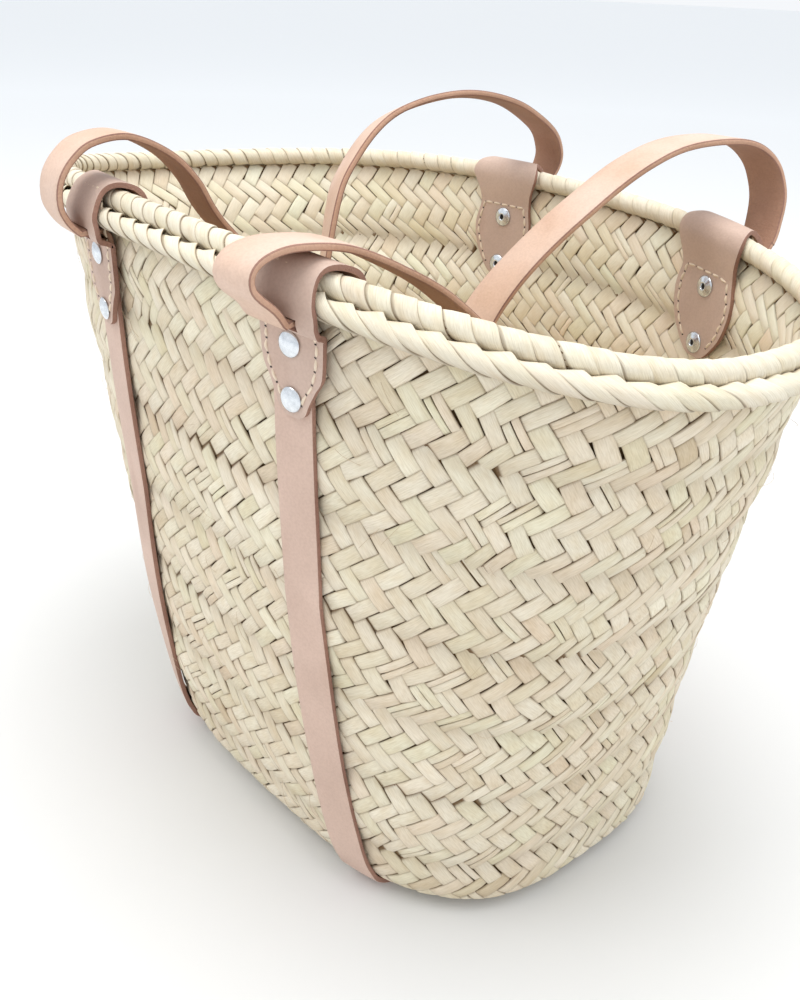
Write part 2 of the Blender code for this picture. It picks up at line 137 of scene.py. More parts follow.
# Rim wraps: pitch, advance in one turn and teeth of each roll, and how deep its core lies
ROLL_WRAP = (0.0096, 0.014, 0.0)
BINDING_WRAP = (0.0112, 0.03, 0.0022)
ROLL_CORE_DEPTH = 0.0008
BINDING_CORE_DEPTH = 0.0009
WRAP_DEPTH = 0.0003
WRAP_FROM, WRAP_TO = math.radians(-115), math.radians(265)
TOOTH_TURN = math.radians(115)
TOOTH_SPREAD = 0.55

# Leather, in metres: cuts, worn edges, and the wander of hand-cut edges as a part of the width
SLIT_PLAY = 0.0006
SLIT_FACE = 0.0095
JOIN_GAP = 0.0005
EDGE_WEAR = 0.00045
TAB_RAGGED = 0.022
STRAP_RAGGED = 0.018
HANDLE_RAGGED = 0.014
STRAP_RUN_IN = 0.55
BEND_REACH = 0.011
FRONT_HANG = (0, 0.64, -0.77)
BACK_HANG = (0, -0.64, -0.77)

# Stitches and rivets; the profiles are (radius, height over the flap's face)
THREAD_RADIUS = 0.00058
THREAD_ARCH = 0.00055
THREAD_DEPTH = 0.0003
NEEDLE_RADIUS = 0.00062
STITCH_WANDER = 0.0003
RIVET_SEAT = 0.0002
CAP_PROFILE = [(0.0, 0.0019), (0.0012, 0.00185), (0.0026, 0.0016), (0.0036, 0.0012), (0.0044, 0.0009),
               (0.0049, 0.0006), (0.005, 0.0003), (0.0047, 0.0), (0.0, 0.0)]
EYE_PROFILE = [(0.0052, 0.0), (0.0053, -0.0004), (0.0046, -0.0008), (0.0032, -0.0012), (0.0024, -0.0017),
               (0.0019, -0.0018), (0.0015, -0.0015), (0.0014, -0.0002)]
HOLE_PROFILE = [(0.0015, -0.0006), (0.0, -0.0006)]
FIBRES = 150
FIBRE_RADIUS = 0.00009

# Stage and camera
FLOOR_HALF = 30.0
# Painted light on the floor: darker near the basket and lighter far off, to even out the lamps' light
FLOOR_FADE = (0.5, 3.5)
FLOOR_PAINTED_LIGHT = [(0.0, (0.785, 0.785, 0.78, 1)), (1.0, (0.97, 0.985, 1.0, 1))]
SKY_SHADES = ((0.02, (1.00, 1.02, 1.05, 1.0)), (0.45, (0.94, 0.97, 1.0, 1.0)))
SKY_STRENGTH = 0.92
LIGHTS_AIM = Vector((0, 0, 0.15))
LIGHTS = (
    ("key", (-0.7, -1.5, 2.5), 1.3, 15.0, (1.0, 0.98, 0.95)),
    ("fill", (1.7, 0.5, 2.0), 1.8, 5.0, (0.98, 0.99, 1.0)),
    ("top", (0.0, 0.1, 2.3), 1.2, 26.0, (1.0, 0.99, 0.97)),
)
AZIMUTH = math.radians(41.52)
ELEVATION = math.radians(26.57)
TILT = math.radians(2.36)
CAMERA_DISTANCE = 0.598
CAMERA_TARGET = Vector((-0.0193, 0.0252, 0.1191))
CAMERA_LENS = 37.41


# ---- the wall as a surface, on arrays

def unit(v):
    """Vectors scaled to length 1."""
    return v / np.maximum(np.linalg.norm(v, axis=-1, keepdims=True), 1e-12)


def end_shape(t):
    """Half length and squareness of the wall's outline at height fraction t."""
    half_length = BASE_HALF_LENGTH + (RIM_HALF_LENGTH - BASE_HALF_LENGTH) * t ** END_FLARE
    return half_length, BASE_SQUARENESS + (RIM_SQUARENESS - BASE_SQUARENESS) * t


def corner_inset(t):
    """How far the base's rounded corner draws the outline in at height t."""
    under = np.maximum(BASE_CORNER - t * WALL_RISE, 0.0)
    return BASE_CORNER - np.sqrt(BASE_CORNER ** 2 - under ** 2)


def top_edge(phi):
    """Height of the wall's top edge."""
    return WALL_HEIGHT - END_DIP * np.cos(2 * phi) - NEAR_DIP * np.cos(phi) - BACK_DIP * np.sin(phi)


def wall(phi, t):
    """Points of the wall's outer face; phi runs round the basket and t from base to top edge."""
    phi, t = np.broadcast_arrays(np.asarray(phi, float), np.asarray(t, float))
    c, s = np.cos(phi), np.sin(phi)
    half_length, squareness = end_shape(t)
    half_width = BASE_HALF_WIDTH + (RIM_HALF_WIDTH - BASE_HALF_WIDTH) * t ** SIDE_FLARE
    inset = corner_inset(t)
    x = np.sign(c) * (half_length - inset) * np.abs(c) ** (2 / squareness) + BASE_SHIFT[0] * (1 - t)
    y = np.sign(s) * (half_width - inset) * np.abs(s) ** (2 / squareness) + BASE_SHIFT[1] * (1 - t)
    z = BASE_Z + (top_edge(phi) - BASE_Z) * t
    return np.stack([x, y, z], axis=-1) - ORIGIN


def wall_normal(phi, t):
    """The wall's outward direction."""
    step = 1e-3
    along = wall(phi + step, t) - wall(phi - step, t)
    up = wall(phi, np.minimum(t + step, 1.0)) - wall(phi, np.maximum(t - step, 0.0))
    return unit(np.cross(along, up))


def run_lengths(points):
    """Distance along a curve to each of its points."""
    return np.concatenate([[0.0], np.cumsum(np.linalg.norm(np.diff(points, axis=0), axis=1))])


def make_arc_table():
    """For a ladder of heights: the angle phi at each share of the way round, and the way round itself."""
    levels = np.linspace(0.0, 1.0, 41)
    fine = np.linspace(0.0, TAU, 1441)
    shares = np.linspace(0.0, 1.0, 721)
    table, rounds = [], []
    for t in levels:
        lengths = run_lengths(wall(fine, t))
        table.append(np.interp(shares, lengths / lengths[-1], fine) - TAU * shares)
        rounds.append(lengths[-1])
    return levels, shares, np.array(table), np.array(rounds)


LEVELS, SHARES, TURN_TABLE, ROUNDS = make_arc_table()


def look_up(table, row, column):
    """Values between a table's entries, at rows and columns that aren't whole numbers."""
    low = np.minimum(row.astype(int), len(table) - 2)
    left = np.minimum(column.astype(int), table.shape[1] - 2)
    f, g = row - low, column - left
    return ((table[low, left] * (1 - g) + table[low, left + 1] * g) * (1 - f)
            + (table[low + 1, left] * (1 - g) + table[low + 1, left + 1] * g) * f)


def angle_of(share, t):
    """phi at a share of the way round, at height t."""
    whole = np.mod(share, 1.0)
    row = np.clip(t, 0.0, 1.0) * (len(LEVELS) - 1)
    return TAU * whole + look_up(TURN_TABLE, row, whole * (len(SHARES) - 1))


def make_height_table():
    """Height t against the mean distance up the wall from the base's edge."""
    t = np.concatenate([np.linspace(0.0, 0.03, 30), np.linspace(0.04, 1.0, 60)])
    p = wall(np.linspace(0, TAU, 24, endpoint=False)[None, :], t[:, None])
    steps = np.linalg.norm(np.diff(p, axis=0), axis=2).mean(axis=1)
    return t, np.concatenate([[0.0], np.cumsum(steps)])


HEIGHTS, CLIMB = make_height_table()


def height_of(row):
    """Height t of a number of plait rows over the base's edge."""
    return np.interp(np.clip(row, 0.0, ROWS) / ROWS * CLIMB[-1], CLIMB, HEIGHTS)


def side_angle(x, side, t):
    """phi of a place along x on a long side, at height t."""
    shift = BASE_SHIFT[0] * (1 - t)
    half_length, squareness = end_shape(t)
    part = np.minimum(np.abs(x - shift) / (half_length - corner_inset(t)), 1.0)
    return side * np.arccos(np.sign(x - shift) * part ** (squareness / 2))


def on_side(x, side, height, stand_off):
    """Points standing off a long side's outer face, at a height over the wall's top edge."""
    x, height, stand_off = np.broadcast_arrays(*(np.asarray(a, float) for a in (x, height, stand_off)))
    rim_z = top_edge(side_angle(x, side, np.ones_like(x)))
    t = 1 + np.minimum(height, 0.0) / (rim_z - BASE_Z)
    phi = side_angle(x, side, t)
    point = wall(phi, t) + wall_normal(phi, t) * stand_off[..., None]
    point[..., 2] += np.maximum(height, 0.0)
    return point


def side_frame(x, side, depth, stand_off=0.0):
    """Origin, along, up and outward of a frame by a long side's outer face."""
    origin, out = on_side([x, x], side, -depth, [stand_off, stand_off + 0.01])
    z = unit(out - origin)
    right, left = on_side([x + 0.005, x - 0.005], side, -depth, stand_off)
    along = unit(right - left) * -side
    y = unit(np.cross(z, along))
    return origin, np.cross(y, z), y, z


def smooth(points, per_span):
    """A smooth curve through rows of numbers, with per_span steps between neighbours."""
    p = np.array(points, float)
    p = np.vstack([2 * p[0] - p[1], p, 2 * p[-1] - p[-2]])
    a, b, c, d = p[:-3, None], p[1:-2, None], p[2:-1, None], p[3:, None]
    s = np.linspace(0.0, 1.0, per_span, endpoint=False)[None, :, None]
    curve = 0.5 * (2 * b + (c - a) * s + (2 * a - 5 * b + 4 * c - d) * s ** 2
                   + (3 * b - a - 3 * c + d) * s ** 3)
    return np.vstack([curve.reshape(-1, p.shape[1]), p[-2]])


def even_steps(points, steps):
    """The same curve with its rows spaced evenly by length."""
    lengths = run_lengths(points)
    places = np.linspace(0.0, lengths[-1], steps + 1)
    return np.stack([np.interp(places, lengths, column) for column in points.T], axis=1)


def around(centre, first, second, radius, turn):
    """Points on circles, turned from the first direction towards the second."""
    return centre + first * (radius * np.cos(turn))[..., None] + second * (radius * np.sin(turn))[..., None]


# ---- meshes and materials

def collect(pieces, flipped):
    """Joins (points, uv, tone) grids of one shape into arrays: points n x rows x columns x 3. flipped
    turns their faces over."""
    return [np.concatenate(group)[:, :, ::-1 if flipped else 1] for group in zip(*pieces)]


def tones(shape, light, hue, painted_shade):
    """The tone of every point: how light, which hue, how much painted shade, and 1."""
    return np.stack(np.broadcast_arrays(light, hue, painted_shade, np.ones(shape)), -1)


def add_object(name, data):
    """A new object in the scene."""
    obj = bpy.data.objects.new(name, data)
    bpy.context.scene.collection.objects.link(obj)
    return obj


def grids_object(name, points, uv, tone, materials, part_of_column=None, wrap=False):
    """One mesh of many equal grids. points is n x rows x columns x 3, uv the same with 2 numbers and
    tone with 4. part_of_column gives the material of each column of faces."""
    n, rows, columns, _ = points.shape
    index = np.arange(n * rows * columns).reshape(n, rows, columns)
    if wrap:
        index = np.concatenate([index, index[:, :, :1]], axis=2)
    faces = np.stack([index[:, :-1, :-1], index[:, :-1, 1:], index[:, 1:, 1:], index[:, 1:, :-1]], axis=-1)
    across = faces.shape[2]
    faces = faces.reshape(-1, 4)
    mesh = bpy.data.meshes.new(name)
    mesh.vertices.add(n * rows * columns)
    mesh.vertices.foreach_set("co", points.reshape(-1).astype(np.float32))
    mesh.loops.add(len(faces) * 4)
    mesh.loops.foreach_set("vertex_index", faces.reshape(-1).astype(np.int32))
    mesh.polygons.add(len(faces))
    mesh.polygons.foreach_set("loop_start", np.arange(0, len(faces) * 4, 4, dtype=np.int32))
    mesh.update(calc_edges=True)
    mesh.validate()
    layer = mesh.uv_layers.new(name="UVMap")
    layer.data.foreach_set("uv", uv.reshape(-1, 2)[faces.reshape(-1)].reshape(-1).astype(np.float32))
    colour = mesh.color_attributes.new(name="tone", type="FLOAT_COLOR", domain="POINT")
    colour.data.foreach_set("color", tone.reshape(-1).astype(np.float32))
    for material in materials:
        mesh.materials.append(material)
    if part_of_column is not None:
        parts = np.tile(np.array(part_of_column, np.int32), len(faces) // across)
        mesh.polygons.foreach_set("material_index", parts)
    mesh.shade_smooth()
    return add_object(name, mesh)


def plain_grids(name, points, materials, tone=1.0, **more):
    """grids_object with one tone all over."""
    shape = points.shape[:3]
    return grids_object(name, points, np.zeros(shape + (2,)), np.full(shape + (4,), tone), materials, **more)


def srgb(r, g, b):
    """A linear colour from 8-bit values."""
    linear = [(c / 255 / 12.92) if c <= 10.3 else ((c / 255 + 0.055) / 1.055) ** 2.4 for c in (r, g, b)]
    return (*linear, 1.0)


WHITE = (1, 1, 1, 1)


class Nodes:
    """A small builder for a material's nodes."""

    def __init__(self, name, roughness, specular=0.3):
        self.material = bpy.data.materials.new(name)
        self.material.use_nodes = True
        self.tree = self.material.node_tree
        self.shader = self.tree.nodes["Principled BSDF"]
        self.shader.inputs["Roughness"].default_value = roughness
        self.shader.inputs["Specular IOR Level"].default_value = specular

    def new(self, kind, **values):
        node = self.tree.nodes.new(kind)
        for key, value in values.items():
            setattr(node, key, value)
        return node

    def link(self, a, b):
        self.tree.links.new(a, b)

    def ramp(self, factor, stops):
        node = self.new("ShaderNodeValToRGB")
        while len(node.color_ramp.elements) < len(stops):
            node.color_ramp.elements.new(0.5)
        for element, (place, colour) in zip(node.color_ramp.elements, stops):
            element.position = place
            element.color = colour
        self.link(factor, node.inputs[0])
        return node.outputs[0]

    def tint(self, factor, a, b):
        node = self.new("ShaderNodeMix", data_type="RGBA", blend_type="MULTIPLY")
        for socket, value in ((node.inputs[0], factor), (node.inputs[6], a), (node.inputs[7], b)):
            if isinstance(value, (int, float, tuple)):
                socket.default_value = value
            else:
                self.link(value, socket)
        return node.outputs[2]

    def noise(self, vector, scale, detail=3.0, stretch=(1.0, 1.0, 1.0)):
        mapping = self.new("ShaderNodeMapping")
        mapping.inputs["Scale"].default_value = stretch
        self.link(vector, mapping.inputs[0])
        node = self.new("ShaderNodeTexNoise")
        node.inputs["Scale"].default_value = scale
        node.inputs["Detail"].default_value = detail
        self.link(mapping.outputs[0], node.inputs["Vector"])
        return node.outputs["Fac"]

    def bump(self, height, distance, strength=1.0):
        node = self.new("ShaderNodeBump")
        node.inputs["Strength"].default_value = strength
        node.inputs["Distance"].default_value = distance
        self.link(height, node.inputs["Height"])
        self.link(node.outputs[0], self.shader.inputs["Normal"])


def palm_material(name, light, warm, brown, wear=0.75):
    """Dried palm leaf: tone by strip, fine fibres along it, wear streaks and blotches, and a brown painted
    shade where a strip dives, in seam grooves and under the rim rolls. A low last argument weakens the
    streaks and blotches and so paints the copy lighter, as painted light.
    """
    m = Nodes(name, 0.62, 0.28)
    tone = m.new("ShaderNodeVertexColor", layer_name="tone")
    split = m.new("ShaderNodeSeparateColor")
    m.link(tone.outputs[0], split.inputs[0])
    uv = m.new("ShaderNodeUVMap", uv_map="UVMap").outputs[0]
    base = m.ramp(split.outputs[0], [(0.0, srgb(*brown)), (0.35, srgb(*warm)), (0.75, srgb(*light)),
                                     (1.0, srgb(*(min(c + 9, 255) for c in light)))])
    hue = m.ramp(split.outputs[1], [(0.0, srgb(255, 238, 226)), (0.45, srgb(255, 252, 246)),
                                    (1.0, srgb(246, 250, 222))])
    tinted = m.tint(0.42, base, hue)
    fibres = m.noise(uv, 9.0, 4.0, (22.0, 260.0, 1.0))
    streaks = m.ramp(fibres, [(0.3, (0.8, 0.77, 0.71, 1)), (0.62, WHITE)])
    streaked = m.tint(wear, tinted, streaks)
    blotch = m.ramp(m.noise(uv, 3.0, 2.0, (30.0, 60.0, 1.0)),
                    [(0.42, WHITE), (0.75, (0.9, 0.83, 0.72, 1))])
    blotched = m.tint(0.8 * wear, streaked, blotch)
    # Painted shade: the tone's third channel darkens the leaf towards this brown
    painted_shade = m.tint(split.outputs[2], blotched, srgb(118, 92, 64))
    m.link(painted_shade, m.shader.inputs["Base Color"])
    m.bump(fibres, 0.0005, 0.55)
    return m.material


def leather_material(name, colour, dark, grain=0.00012, roughness=0.55):
    """Undyed leather: cloudy tone, pores, scuffs and grain."""
    m = Nodes(name, roughness, 0.35)
    position = m.new("ShaderNodeTexCoord").outputs["Object"]
    cloud = m.noise(position, 28.0, 4.0)
    base = m.ramp(cloud, [(0.32, srgb(*dark)), (0.66, srgb(*colour))])
    pores = m.noise(position, 900.0, 3.0)
    spots = m.ramp(pores, [(0.35, (0.82, 0.78, 0.76, 1)), (0.6, WHITE)])
    spotted = m.tint(0.35, base, spots)
    scuffs = m.ramp(m.noise(position, 70.0, 6.0, (1.0, 1.0, 0.25)),
                    [(0.58, WHITE), (0.74, (0.9, 0.84, 0.81, 1))])
    m.link(m.tint(0.6, spotted, scuffs), m.shader.inputs["Base Color"])
    m.bump(m.noise(position, 1100.0, 2.0), grain, 0.8)
    return m.material


def plain_material(name, colour, roughness, specular=0.4):
    """One even colour."""
    m = Nodes(name, roughness, specular)
    m.shader.inputs["Base Color"].default_value = srgb(*colour)
    return m.material


def metal_material():
    """Nickel with light wear."""
    m = Nodes("rivet_nickel", 0.22, 0.5)
    m.shader.inputs["Metallic"].default_value = 1.0
    position = m.new("ShaderNodeTexCoord").outputs["Object"]
    wear = m.noise(position, 400.0, 5.0)
    shades = m.ramp(wear, [(0.3, srgb(205, 210, 216)), (0.7, srgb(236, 240, 244))])
    m.link(shades, m.shader.inputs["Base Color"])
    m.bump(wear, 0.00006, 0.5)
    return m.material


PALM_OUT = palm_material("palm_outside", (238, 230, 212), (232, 220, 199), (214, 197, 171))
# The inside is a lighter copy of the outside's palm with weaker streaks and blotches: painted light for the
# basket's shaded inside
PALM_IN_PAINTED_LIGHT = palm_material("palm_inside_painted_light", (252, 246, 230), (250, 240, 219), (243, 228, 201), 0.4)
PALM_RIM = palm_material("palm_rim", (240, 233, 216), (233, 222, 201), (214, 199, 174))
# Painted shade: the under-strips and roll bundles are the same leaf, drawn dark brown for the shade in the
# gaps
PALM_CORE_SHADE = plain_material("palm_core_shade", (98, 76, 52), 0.9, specular=0.1)
LEATHER_TAB = leather_material("leather_tab", (211, 186, 171), (195, 169, 154))
LEATHER_STRAP = leather_material("leather_strap", (216, 188, 172), (203, 175, 159))
LEATHER_TOP = leather_material("leather_handle", (226, 198, 180), (214, 180, 156))
# The flesh side: its own browner colour, darkened further as painted shade for the shadowed inside of the
# handle loops
LEATHER_FLESH_AND_SHADE = leather_material("leather_flesh_and_shade", (172, 134, 112), (154, 117, 96), 0.0004, 0.85)
LEATHER_EDGE = leather_material("leather_edge", (166, 128, 112), (138, 102, 88), 0.0006, 0.8)
LEATHER_CORE = leather_material("leather_edge_core", (204, 164, 140), (186, 146, 122), 0.0005, 0.8)
THREAD = plain_material("thread", (236, 219, 196), 0.7)
METAL = metal_material()
# Painted shade: dark discs for the shade in the rivets' tube ends and in the stitch holes
HOLE_SHADE = plain_material("rivet_hole_shade", (38, 34, 32), 0.8)


# ---- plaiting

ALONG = np.array([-1.3, -1.12, -1.01, -0.93, -0.55, 0.0, 0.55, 0.93, 1.01, 1.12, 1.3])[:, None]
SAG = np.array([0.0019, 0.0013, 0.0007, 0.00036, 0.00014, 0.00008,
                0.00014, 0.00036, 0.0007, 0.0013, 0.0019])[:, None]
ACROSS = np.array([-0.5, -0.5, -0.42, 0.0, 0.42, 0.5, 0.5])
EDGE_DROP = np.array([0.0013, 0.00034, 0.00005, 0.0, 0.00005, 0.00034, 0.0013])
# Painted shade on each float's ends and long edges, where it dives under its neighbours
DIVE_SHADE_ALONG = np.array([1.0, 0.9, 0.35, 0.06, 0.0, 0.0, 0.0, 0.06, 0.35, 0.9, 1.0])[:, None]
DIVE_SHADE_ACROSS = np.array([1.0, 0.3, 0.0, 0.0, 0.0, 0.3, 1.0])


def float_grids(count, lean, rng):
    """Offsets of count plaited floats, in strip widths: along-the-wall X, up-the-wall Y, height in
    metres, with their uv and tone. Each is two widths long and dives under its neighbours, and its tone
    paints shade on its ends and long edges there. A few are split lengthwise, and then both halves are there."""
    split = rng.uniform(0, 1, count) < SPLIT_PART
    shares = np.where(split, rng.uniform(0.35, 0.6, count), 1.0)
    owner = np.concatenate([np.arange(count), np.nonzero(split)[0]])
    wide = np.concatenate([shares, 1 - shares[split] - SPLIT_GAP])
    middle = np.concatenate([np.where(split, (shares - 1) / 2, 0.0), (shares[split] + SPLIT_GAP) / 2])
    shape = (len(owner), 1, 1)
    turn = lean * math.pi / 4 + rng.normal(0, 0.04, count)[owner].reshape(shape)
    length = 1 + rng.normal(0, 0.02, shape)
    width = wide.reshape(shape) * np.clip(0.985 - np.abs(rng.normal(0.0, 0.028, shape)), 0.88, 1.0)
    u = ALONG * length
    bow = 1 - rng.uniform(-0.01, 0.05, shape) * u ** 2
    v = ACROSS * width * bow + middle.reshape(shape)
    v = v + rng.normal(0, 0.012, shape) + 0.02 * rng.normal(0, 1, shape) * u ** 2
    x = u * np.cos(turn) - v * np.sin(turn)
    y = u * np.sin(turn) + v * np.cos(turn)
    across = ACROSS * 2
    cup = rng.uniform(-0.00005, 0.00022, shape) * across ** 2 * wide.reshape(shape)
    tilt = rng.normal(0, 0.00016, shape) * across + rng.normal(0, 0.00014, shape) * ALONG
    height = -SAG - EDGE_DROP - cup + tilt + rng.normal(0, 0.0001, shape)
    uv = np.stack([u * STRIP + rng.uniform(0, 5, shape) + 0 * v, v * STRIP + rng.uniform(0, 5, shape)], -1)
    tone = tones(x.shape, np.clip(rng.normal(0.6, 0.16, shape), 0, 1),
                 np.clip(rng.normal(0.5, 0.22, shape), 0, 1),
                 np.maximum(DIVE_SHADE_ALONG, DIVE_SHADE_ACROSS))
    return owner, x, y, height, uv, tone


def braid_counts():
    """Floats round each braid: they keep their width while the wall flares."""
    middles = height_of((np.arange(BRAIDS) + 0.5) * ROWS_PER_BRAID)
    return [round(length / UNIT) for length in np.interp(middles, LEVELS, ROUNDS)]


def braid_tables(seed):
    """For each braid, the share of the way round at a grid of height in the braid and float number.
    A braid's lower edge takes up the floats of the one below, and its extra floats slip in at a few
    places. By its upper edge they are evenly spaced again."""
    rng = np.random.RandomState(seed)
    share = np.linspace(-0.2, 1.2, 2801)
    whole = np.floor(share)
    within = share - whole
    heights = np.linspace(0, 1, 9)
    tables, below, last = [], None, 0
    for count in braid_counts():
        if below is None:
            lower = count * share
        else:
            extra = count - last
            slips = (np.arange(extra) + rng.uniform(0.2, 0.8, extra)) / max(extra, 1)
            steps = [np.clip((within - place) * last / 2.6 + 0.5, 0, 1) for place in slips]
            slipped = sum(step * step * (3 - 2 * step) for step in steps)
            lower = below + slipped + whole * extra
        even = count * share
        upper = even + np.mean(lower - even)
        numbers = np.arange(-4, count + 12, NUMBER_STEP)
        table = [np.interp(numbers, lower * (1 - h) + upper * h, share) for h in heights]
        tables.append((numbers, np.array(table)))
        below, last = upper, count
    return tables


def share_of(table, number, within):
    """Share of the way round of a float number at a height in its braid."""
    numbers, shares = table
    column = np.clip((number - numbers[0]) / NUMBER_STEP, 0, len(numbers) - 1.001)
    return look_up(shares, np.clip(within, 0, 1) * (len(shares) - 1), column)


def wave(turns):
    """A sine that repeats with each whole turn."""
    return np.sin(TAU * turns)


def plait_wall(name, inside, material, seed):
    """The wall's rows of leaning floats, as braids joined edge to edge with a low ridge at each seam, and
    painted shade in the groove along each seam.
    """
    rng = np.random.RandomState(seed)
    ridge = (0.003, 0.62) if inside else (0.0015, 0.8)
    seam_groove_shade = 0.34 if inside else 0.16
    pieces = []
    for braid, (table, count) in enumerate(zip(braid_tables(seed), braid_counts())):
        first = braid * ROWS_PER_BRAID
        patch = rng.uniform(0, 1, 8)
        for row in range(first, first + ROWS_PER_BRAID):
            lean = 1 if row % 2 == 0 else -1
            owner, x, y, height, uv, tone = float_grids(count, lean, rng)
            level = row + 0.5 + y / math.sqrt(2)
            start = (owner + 0.5 * (row % 2)).reshape(-1, 1, 1)
            number = start + x / math.sqrt(2) + (SLANT * level) % count
            number = np.where(number > count + 4, number - count, number)
            share = share_of(table, number, (level - first) / ROWS_PER_BRAID)
            level = level + 0.06 * wave(3 * share + patch[0])
            level = level + 0.04 * wave(11 * share + patch[1])
            t = height_of(level)
            phi = angle_of(share, t)
            within = (level - first) / ROWS_PER_BRAID
            pillow = ridge[0] * (np.sin(math.pi * np.clip(within, 0, 1)) - ridge[1])
            swell = 0.0006 * wave(5 * share + patch[2]) * wave(t * 4 + patch[3])
            lift = np.maximum(height + pillow + swell, -MID_WALL)
            normal = wall_normal(phi, t)
            off = -WALL_THICKNESS - lift if inside else lift
            points = wall(phi, t) + normal * off[..., None]
            drift = 0.1 * wave(4 * share[:, :1, :1] + patch[4]) + 0.14 * (patch[5] - 0.5)
            tone[..., 0] = np.clip(tone[..., 0] + drift, 0, 1)
            # Painted shade along the grooves by the braid seams, stronger on the inside
            from_seam = np.minimum(np.abs(within), np.abs(1 - within))
            tone[..., 2] = np.maximum(tone[..., 2], seam_groove_shade * np.exp(-(from_seam / 0.11) ** 2))
            pieces.append((points, uv, tone))
    return grids_object(name, *collect(pieces, inside), [material])


def plait_base(name, z, up, material, seed):
    """Flat plaiting across the base, clipped to its outline."""
    rng = np.random.RandomState(seed)
    pieces = []
    inset = BASE_CORNER - 0.001 if not up else WALL_THICKNESS - 0.0005
    for row in range(-9, 9):
        lean = 1 if row % 2 == 0 else -1
        owner, x, y, height, uv, tone = float_grids(30, lean, rng)
        centre_x = (owner - 15 + 0.5 * (row % 2)).reshape(-1, 1, 1) * UNIT
        px = centre_x + x * STRIP
        py = (row + 0.5) * UNIT + y * STRIP
        limit = ((np.abs(px) / (BASE_HALF_LENGTH - inset)) ** 3
                 + (np.abs(py) / (BASE_HALF_WIDTH - inset)) ** 3)
        keep = limit.min(axis=(1, 2)) < 0.97
        shrink = np.minimum(1.0, 1 / np.maximum(limit, 1e-6) ** (1 / 3))
        pz = z + (height if up else -height)
        points = np.stack([px * shrink + BASE_SHIFT[0], py * shrink + BASE_SHIFT[1], pz], -1) - ORIGIN
        pieces.append((points[keep], uv[keep], tone[keep]))
    return grids_object(name, *collect(pieces, not up), [material])


def core_shell(name):
    """The strips that run under the floats, as one layer in the middle of the wall and base, dark with
    painted shade where the gaps show it.
    """
    share, t = np.meshgrid(np.linspace(0, 1, CORE_STEPS), HEIGHTS * 0.995)
    phi = angle_of(share, t)
    points = wall(phi, t) - wall_normal(phi, t) * (WALL_THICKNESS / 2)
    middle = np.array([BASE_SHIFT[0], BASE_SHIFT[1], BASE_Z + WALL_THICKNESS / 2]) - ORIGIN
    rings = [middle + (points[0] - middle) * k for k in np.linspace(0.02, 0.97, 8)]
    rings = [np.stack([r[:, 0], r[:, 1], np.full(len(r), middle[2])], -1) for r in rings]
    return plain_grids(name, np.concatenate([np.array(rings), points])[None], [PALM_CORE_SHADE])


# ---- rim

def rim_path(share, roll):
    """Centre of a rim roll at shares of the way round, and the outward direction there."""
    phi = angle_of(np.asarray(share, float), np.ones_like(share, dtype=float))
    outward = wall_normal(phi, np.ones_like(phi))
    outward[..., 2] = 0
    outward = unit(outward)
    centre = wall(phi, np.ones_like(phi)) + outward * roll[0]
    centre[..., 2] += roll[1]
    return centre, outward


UP = np.array([0.0, 0.0, 1.0])
WRAP_ACROSS = np.array([-0.66, -0.47, -0.38, -0.1, 0.3, 0.46, 0.5, 0.515])
WRAP_RAISED = np.array([-0.0006, -0.00042, -0.00024, 0.00006, 0.00024, 0.0003, 0.0002, -0.00055])


def wrapped_roll(name, roll, wrap, material, seed):
    """Leaf wrapped slantwise round a core: overlapping turns, each with one raised edge, and painted
    shade on the roll's underside and where turns overlap. teeth lifts the raised edge's upper corner off the
    roll."""
    rng = np.random.RandomState(seed)
    pitch, advance, teeth = wrap
    length = ROUNDS[-1]
    count = round(length / pitch)
    turn = np.linspace(WRAP_FROM, WRAP_TO, 25)[:, None]
    shape = (count, 1, 1)
    start = (np.arange(count)[:, None, None] + rng.normal(0, 0.035, shape)) * pitch
    slant = advance * (1 + rng.normal(0, 0.04, shape))
    wide = pitch * (1 + np.abs(rng.normal(0, 0.05, shape)))
    place = start - slant * (turn - math.pi / 3) / TAU + WRAP_ACROSS * wide
    place = place + 0.00025 * np.sin(2 * turn + rng.uniform(0, 6, shape))
    upper = np.exp(-((turn - TOOTH_TURN) / TOOTH_SPREAD) ** 2)
    radius = roll[2] - WRAP_DEPTH + WRAP_RAISED * (1 + rng.normal(0, 0.2, shape))
    radius = radius + rng.normal(0, 0.00004, shape)
    radius = radius + teeth * upper * np.clip(WRAP_ACROSS + 0.1, 0, 1) * rng.uniform(0.5, 1.5, shape)
    radius = radius + 0.00005 * np.sin(3 * turn + rng.uniform(0, 6, shape))
    centre, outward = rim_path(place / length, roll)
    points = around(centre, outward, UP, radius, turn)
    uv = np.stack([turn * roll[2] + rng.uniform(0, 5, shape) + 0 * place,
                   WRAP_ACROSS * pitch + rng.uniform(0, 5, shape) + 0 * place], -1)
    # Painted shade: darker on the roll's underside, on each turn's covered edge and on the edge that tucks
    # under the next turn
    low = np.clip(-np.sin(turn) * 0.35, 0, 0.35)
    painted_shade = 0.5 * (WRAP_ACROSS < -0.42) + 1.0 * (WRAP_ACROSS > 0.51) + 0.15 * (WRAP_ACROSS > 0.49) + low
    tone = tones(place.shape, np.clip(rng.normal(0.74, 0.11, shape), 0, 1),
                 np.clip(rng.normal(0.5, 0.12, shape), 0, 1), np.clip(painted_shade, 0, 1))
    return grids_object(name, points, uv, tone, [material])


